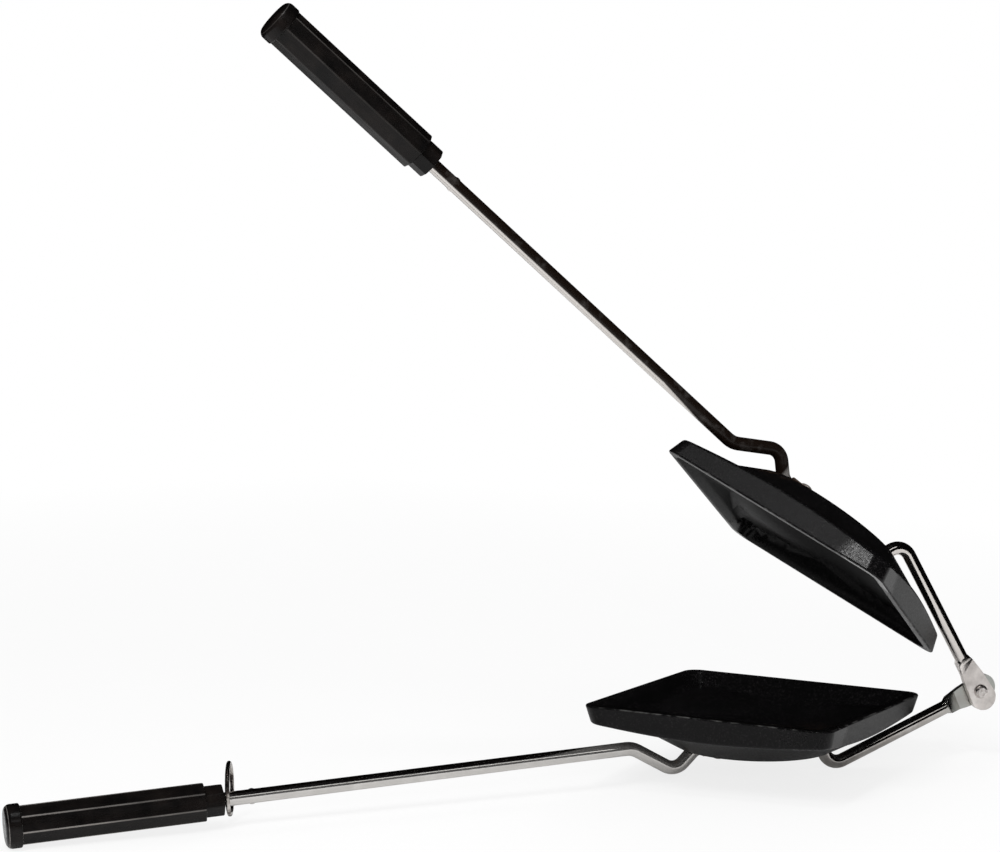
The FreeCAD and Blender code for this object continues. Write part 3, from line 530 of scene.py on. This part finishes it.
def screw_pair_tree():
    """Two domed slotted screws, each turned as the driver left it."""
    tree = bpy.data.node_groups.new("slotted_screw_pair", "GeometryNodeTree")
    tree.interface.new_socket("Geometry", in_out="OUTPUT", socket_type="NodeSocketGeometry")
    for name, size in SCREW_SIZES.items():
        socket = tree.interface.new_socket(name, in_out="INPUT", socket_type="NodeSocketFloat")
        socket.default_value = size * MM
    tree.interface.new_socket("Seed", in_out="INPUT", socket_type="NodeSocketInt")
    tree.interface.new_socket("Material", in_out="INPUT", socket_type="NodeSocketMaterial")
    given = add(tree, "NodeGroupInput").node.outputs

    # the head: a disc standing on the strap, cut to a dome by a ball that passes through its rim
    disc = add(tree, "GeometryNodeMeshCylinder", {
        "Vertices": SCREW_SEGMENTS, "Radius": given["Head Radius"], "Depth": given["Head Height"]})
    half_height = add(tree, "ShaderNodeMath", {0: given["Head Height"], 1: 0.5}, operation="MULTIPLY")
    radius_squared = add(tree, "ShaderNodeMath", {0: given["Head Radius"], 1: given["Head Radius"]},
                         operation="MULTIPLY")
    both_squared = add(tree, "ShaderNodeMath", {
        0: given["Dome Drop"], 1: given["Dome Drop"], 2: radius_squared}, operation="MULTIPLY_ADD")
    twice_drop = add(tree, "ShaderNodeMath", {0: given["Dome Drop"], 1: 2.0}, operation="MULTIPLY")
    ball_radius = add(tree, "ShaderNodeMath", {0: both_squared, 1: twice_drop}, operation="DIVIDE")
    ball_centre = add(tree, "ShaderNodeMath", {0: given["Head Height"], 1: ball_radius},
                      operation="SUBTRACT")
    ball = add(tree, "GeometryNodeMeshUVSphere", {
        "Segments": SCREW_SEGMENTS, "Rings": SCREW_SEGMENTS, "Radius": ball_radius})
    dome = add(tree, "GeometryNodeMeshBoolean", {
        "Mesh 2": [raised(tree, disc, half_height), raised(tree, ball, ball_centre)]},
        operation="INTERSECT", solver="EXACT")

    # the slot, sawn right across
    slot_length = add(tree, "ShaderNodeMath", {0: given["Head Radius"], 1: 2.0, 2: given["Slot Width"]},
                      operation="MULTIPLY_ADD")
    slot_height = add(tree, "ShaderNodeMath", {0: given["Slot Depth"], 1: 2.0}, operation="MULTIPLY")
    saw_size = add(tree, "ShaderNodeCombineXYZ", {
        "X": slot_length, "Y": given["Slot Width"], "Z": slot_height})
    saw = add(tree, "GeometryNodeMeshCube", {"Size": saw_size})
    head = add(tree, "GeometryNodeMeshBoolean", {
        "Mesh 1": dome, "Mesh 2": raised(tree, saw, given["Head Height"])},
        operation="DIFFERENCE", solver="EXACT")

    shank = add(tree, "GeometryNodeMeshCylinder", {
        "Vertices": SCREW_SEGMENTS, "Radius": given["Shank Radius"], "Depth": given["Shank Length"]})
    shank_middle = add(tree, "ShaderNodeMath", {0: given["Shank Length"], 1: -0.5}, operation="MULTIPLY")
    screw = add(tree, "GeometryNodeJoinGeometry", {"Geometry": [raised(tree, shank, shank_middle), head]})

    # one screw on each side of the rod
    far_side = add(tree, "ShaderNodeMath", {0: given["Spread"], 1: -1.0}, operation="MULTIPLY")
    line = add(tree, "GeometryNodeMeshLine", {
        "Count": 2, "Start Location": add(tree, "ShaderNodeCombineXYZ", {"Y": far_side}),
        "Offset": add(tree, "ShaderNodeCombineXYZ", {"Y": given["Spread"]})}, mode="END_POINTS")
    turn = add(tree, "FunctionNodeRandomValue", {
        0: (0.0, 0.0, 0.0), 1: (0.0, 0.0, math.pi), "Seed": given["Seed"]}, data_type="FLOAT_VECTOR")
    pair = add(tree, "GeometryNodeInstanceOnPoints", {"Points": line, "Instance": screw, "Rotation": turn})
    real = add(tree, "GeometryNodeRealizeInstances", {"Geometry": pair})
    dressed = add(tree, "GeometryNodeSetMaterial", {"Geometry": real, "Material": given["Material"]})
    add(tree, "NodeGroupOutput", {"Geometry": dressed})
    return tree


def screw_pair(half, end, tree, seed, material):
    """The two screws of one strap, in their place on the pan's back."""
    node = "%s_%s_saddle_screws" % (half, end)
    piece = new_object(node + "_surface", bpy.data.meshes.new(node + "_surface"))
    maker = piece.modifiers.new("screw_pair", "NODES")
    maker.node_group = tree
    sockets = {item.name: item.identifier for item in tree.interface.items_tree if item.in_out == "INPUT"}
    maker[sockets["Seed"]] = seed
    maker[sockets["Material"]] = material
    make_plain(piece)
    pad = Matrix.Translation((STRAP_REACHES[end] * MM, 0, -(PAN_DEPTH + PAD_RISE) * MM))
    outward = Matrix.Rotation(math.pi, 4, "X") @ Matrix.Translation((0, 0, STRAP_THICKNESS * MM))
    piece.data.transform(FRAMES[half] @ pad @ outward)
    soften(piece)
    stand_for(piece, node, material)


def dress_iron():
    """A finished piece in the place of every solid of both halves, the hinge and the ring."""
    zinc = zinc_plate()
    nickel = nickel_rivet()
    tree = screw_pair_tree()
    for number, half in enumerate(HALVES):
        smooth_copy(half + "_pan", cast_coating(half))
        smooth_copy(half + "_rod", chromed_bar(half))
        phenolic = moulded_phenolic(half)
        for piece in ("grip", "grip_cap"):
            smooth_copy("%s_%s" % (half, piece), phenolic)
        for piece in ("grip_washer", "grip_nut"):
            smooth_copy("%s_%s" % (half, piece), zinc)
        strap = pressed_strap(half)
        for seed, end in enumerate(STRAP_REACHES, start=2 * number):
            smooth_copy("%s_%s_saddle" % (half, end), strap)
            screw_pair(half, end, tree, seed, zinc)
    for node in ("hinge_rivet", "hinge_spacer", "rivet_tail_washer"):
        smooth_copy(node, nickel)
    smooth_copy("hanging_ring", plated_wire())


# Studio, in metres, watts and degrees

# How strongly the world lights the iron; the background itself is white.
WORLD_LEVEL = 0.42
FLOOR_REACH = 6.0
# Past the hinge the floor falls away by this angle: opened flat, the upper half lies lower than the level
# that the lower one stands on.
FLOOR_FALL = 6.0
# The floor blends into the white background between these distances from the iron, starting at this share.
FLOOR_NEAR = 0.4
FLOOR_FAR = 1.4
FLOOR_WHITE_NEAR = 0.8
# The black canopy is half a ball over the floor. Its flat hem covers the floor too, but for a round opening
# of this radius under the iron.
CANOPY_RADIUS = 4.0
CANOPY_OPENING = 0.62
CANOPY_HEM_HEIGHT = 0.001
CANOPY_SEGMENTS = 32
CANOPY_LEVELS = 8
LAMP_AIM = Vector((0.1, 0.0, 0.12))
# Each lamp's place, width and height, power, and whether mirrors see it: the strip draws the light lines on
# the rods, and the small lamp the spot at the upper pan's near corner.
LAMPS = {
    "front_softbox": ((-0.35, -1.9, 0.6), (1.6, 0.7), 14.0, False),
    "front_strip": ((-0.1, -1.6, 1.25), (1.8, 0.28), 2.4, True),
    "side_softbox": ((0.6, -1.5, 0.66), (0.4, 0.5), 4.0, False),
    "key_softbox": ((-0.9, -0.9, 1.5), (0.6, 0.6), 13.0, False),
    "small_lamp": ((-0.283, -0.508, 1.593), (0.16, 0.16), 3.6, True),
    "back_softbox": ((1.2, 1.2, 1.1), (0.7, 0.7), 6.0, False),
}


def looking(place, ahead):
    """The pose of a camera or lamp that stands at this place and looks this way."""
    return Matrix.Translation(place) @ ahead.to_track_quat("-Z", "Y").to_matrix().to_4x4()


def place_camera():
    """The camera at the photograph's viewing angle, rolled as the photograph was."""
    azimuth = math.radians(VIEW_AZIMUTH)
    elevation = math.radians(VIEW_ELEVATION)
    ahead = Vector((-math.sin(azimuth) * math.cos(elevation), math.cos(azimuth) * math.cos(elevation),
                    -math.sin(elevation)))
    roll = Matrix.Rotation(math.radians(VIEW_ROLL), 4, "Z")
    data = bpy.data.cameras.new("photo_camera")
    data.sensor_width = SENSOR_WIDTH_MM
    data.lens = SENSOR_WIDTH_MM * PIXELS_PER_METRE * VIEW_DISTANCE / PHOTO_WIDTH
    data.clip_start = CLIP_START
    data.clip_end = CLIP_END
    camera = new_object("photo_camera", data)
    camera.matrix_world = looking(VIEW_TARGET - ahead * VIEW_DISTANCE, ahead) @ roll
    bpy.context.scene.camera = camera


def background_rays(tree):
    """The rays that see the plain white background: the camera's, and those of mirrors and glass."""
    path = add(tree, "ShaderNodeLightPath").node.outputs
    mirrored = add(tree, "ShaderNodeMath", {0: path["Is Glossy Ray"], 1: path["Is Transmission Ray"]},
                   operation="MAXIMUM")
    return path["Is Camera Ray"], mirrored


def make_world():
    """Soft white light from all sides, and a white background."""
    world = bpy.data.worlds.new("studio")
    bpy.context.scene.world = world
    world.use_nodes = True
    tree = world.node_tree
    tree.nodes.clear()
    camera, mirrored = background_rays(tree)
    either = add(tree, "ShaderNodeMath", {0: camera, 1: mirrored}, operation="MAXIMUM")
    strength = add(tree, "ShaderNodeMapRange", {"Value": either, "To Min": WORLD_LEVEL})
    background = add(tree, "ShaderNodeBackground", {"Color": colour("ffffff"), "Strength": strength})
    add(tree, "ShaderNodeOutputWorld", {"Surface": background})


def pale_floor():
    """Matte off-white paint, barely uneven; the camera sees it turn to the white background farther out."""
    material, tree, where = new_material("pale_floor")
    unevenness = add(tree, "ShaderNodeTexNoise", {"Vector": where, "Scale": per_metre(300.0)})
    faint = add(tree, "ShaderNodeValToRGB", {"Fac": unevenness}, stops=[(0.0, "f4f4f4"), (1.0, "fafafa")])
    matte = add(tree, "ShaderNodeBsdfDiffuse", {"Color": faint})
    white = add(tree, "ShaderNodeEmission", {"Color": colour("ffffff"), "Strength": 1.0})
    away = add(tree, "ShaderNodeVectorMath", {0: where}, "Value", operation="LENGTH")
    far = add(tree, "ShaderNodeMapRange", {"Value": away, "From Min": FLOOR_NEAR, "From Max": FLOOR_FAR})
    whiter = add(tree, "ShaderNodeMapRange", {"Value": far, "To Min": FLOOR_WHITE_NEAR})
    # close to the iron, mirrors see the matte floor with its shadow
    camera, mirrored = background_rays(tree)
    to_camera = add(tree, "ShaderNodeMath", {0: camera, 1: whiter}, operation="MULTIPLY")
    share = add(tree, "ShaderNodeMath", {0: mirrored, 1: far, 2: to_camera}, operation="MULTIPLY_ADD")
    mixed = add(tree, "ShaderNodeMixShader", {0: share, 1: matte, 2: white})
    add(tree, "ShaderNodeOutputMaterial", {"Surface": mixed})
    return material


def make_floor():
    """The floor: level under the iron, and falling away past the hinge."""
    shape = bmesh.new()
    drop = (FLOOR_REACH - PIN.x) * math.tan(math.radians(FLOOR_FALL))
    rows = [[shape.verts.new((x, y, z)) for y in (-FLOOR_REACH, FLOOR_REACH)]
            for x, z in ((-FLOOR_REACH, 0.0), (PIN.x, 0.0), (FLOOR_REACH, -drop))]
    for (near, far), (next_near, next_far) in zip(rows, rows[1:]):
        shape.faces.new((near, next_near, next_far, far))
    floor = object_from(shape, "floor")
    floor.data.materials.append(pale_floor())


def black_cloth():
    """Black studio cloth: matte, with folds that barely show."""
    material, tree, where = new_material("black_cloth")
    folds = add(tree, "ShaderNodeTexNoise", {"Vector": where, "Scale": per_metre(400.0)})
    tone = add(tree, "ShaderNodeValToRGB", {"Fac": folds}, stops=[(0.0, "0a0909"), (1.0, "141212")])
    matte = add(tree, "ShaderNodeBsdfDiffuse", {"Color": tone})
    add(tree, "ShaderNodeOutputMaterial", {"Surface": matte})
    return material


def make_canopy():
    """A black cloth over and round the iron, which only mirrors see; it keeps the black finishes black."""
    tilts = [math.pi / 2 * level / CANOPY_LEVELS for level in range(1, CANOPY_LEVELS + 1)]
    rings = [(CANOPY_RADIUS * math.sin(tilt), CANOPY_RADIUS * math.cos(tilt)) for tilt in tilts]
    rings.append((CANOPY_OPENING, CANOPY_HEM_HEIGHT))
    turns = [2 * math.pi * segment / CANOPY_SEGMENTS for segment in range(CANOPY_SEGMENTS)]
    shape = bmesh.new()
    peak = shape.verts.new((0.0, 0.0, CANOPY_RADIUS))
    corners = [[shape.verts.new((radius * math.cos(turn), radius * math.sin(turn), height))
                for turn in turns] for radius, height in rings]
    for segment in range(CANOPY_SEGMENTS):
        shape.faces.new((peak, corners[0][segment - 1], corners[0][segment]))
        for upper, lower in zip(corners, corners[1:]):
            shape.faces.new((upper[segment - 1], lower[segment - 1], lower[segment], upper[segment]))
    canopy = object_from(shape, "black_canopy")
    canopy.data.materials.append(black_cloth())
    canopy.visible_camera = False
    canopy.visible_diffuse = False
    canopy.visible_transmission = False
    canopy.visible_shadow = False


def place_lamps():
    """Rectangular lamps that face the iron."""
    for name, (place, (width, height), power, mirrored) in LAMPS.items():
        data = bpy.data.lights.new(name, "AREA")
        data.shape = "RECTANGLE"
        data.size = width
        data.size_y = height
        data.energy = power
        lamp = new_object(name, data)
        lamp.matrix_world = looking(place, LAMP_AIM - Vector(place))
        lamp.visible_glossy = mirrored


def make_studio():
    """A pale floor, a white background, soft lamps and the photograph's view."""
    place_camera()
    make_world()
    make_floor()
    make_canopy()
    place_lamps()
    bpy.context.scene.view_settings.view_transform = "Standard"


dress_iron()
make_studio()
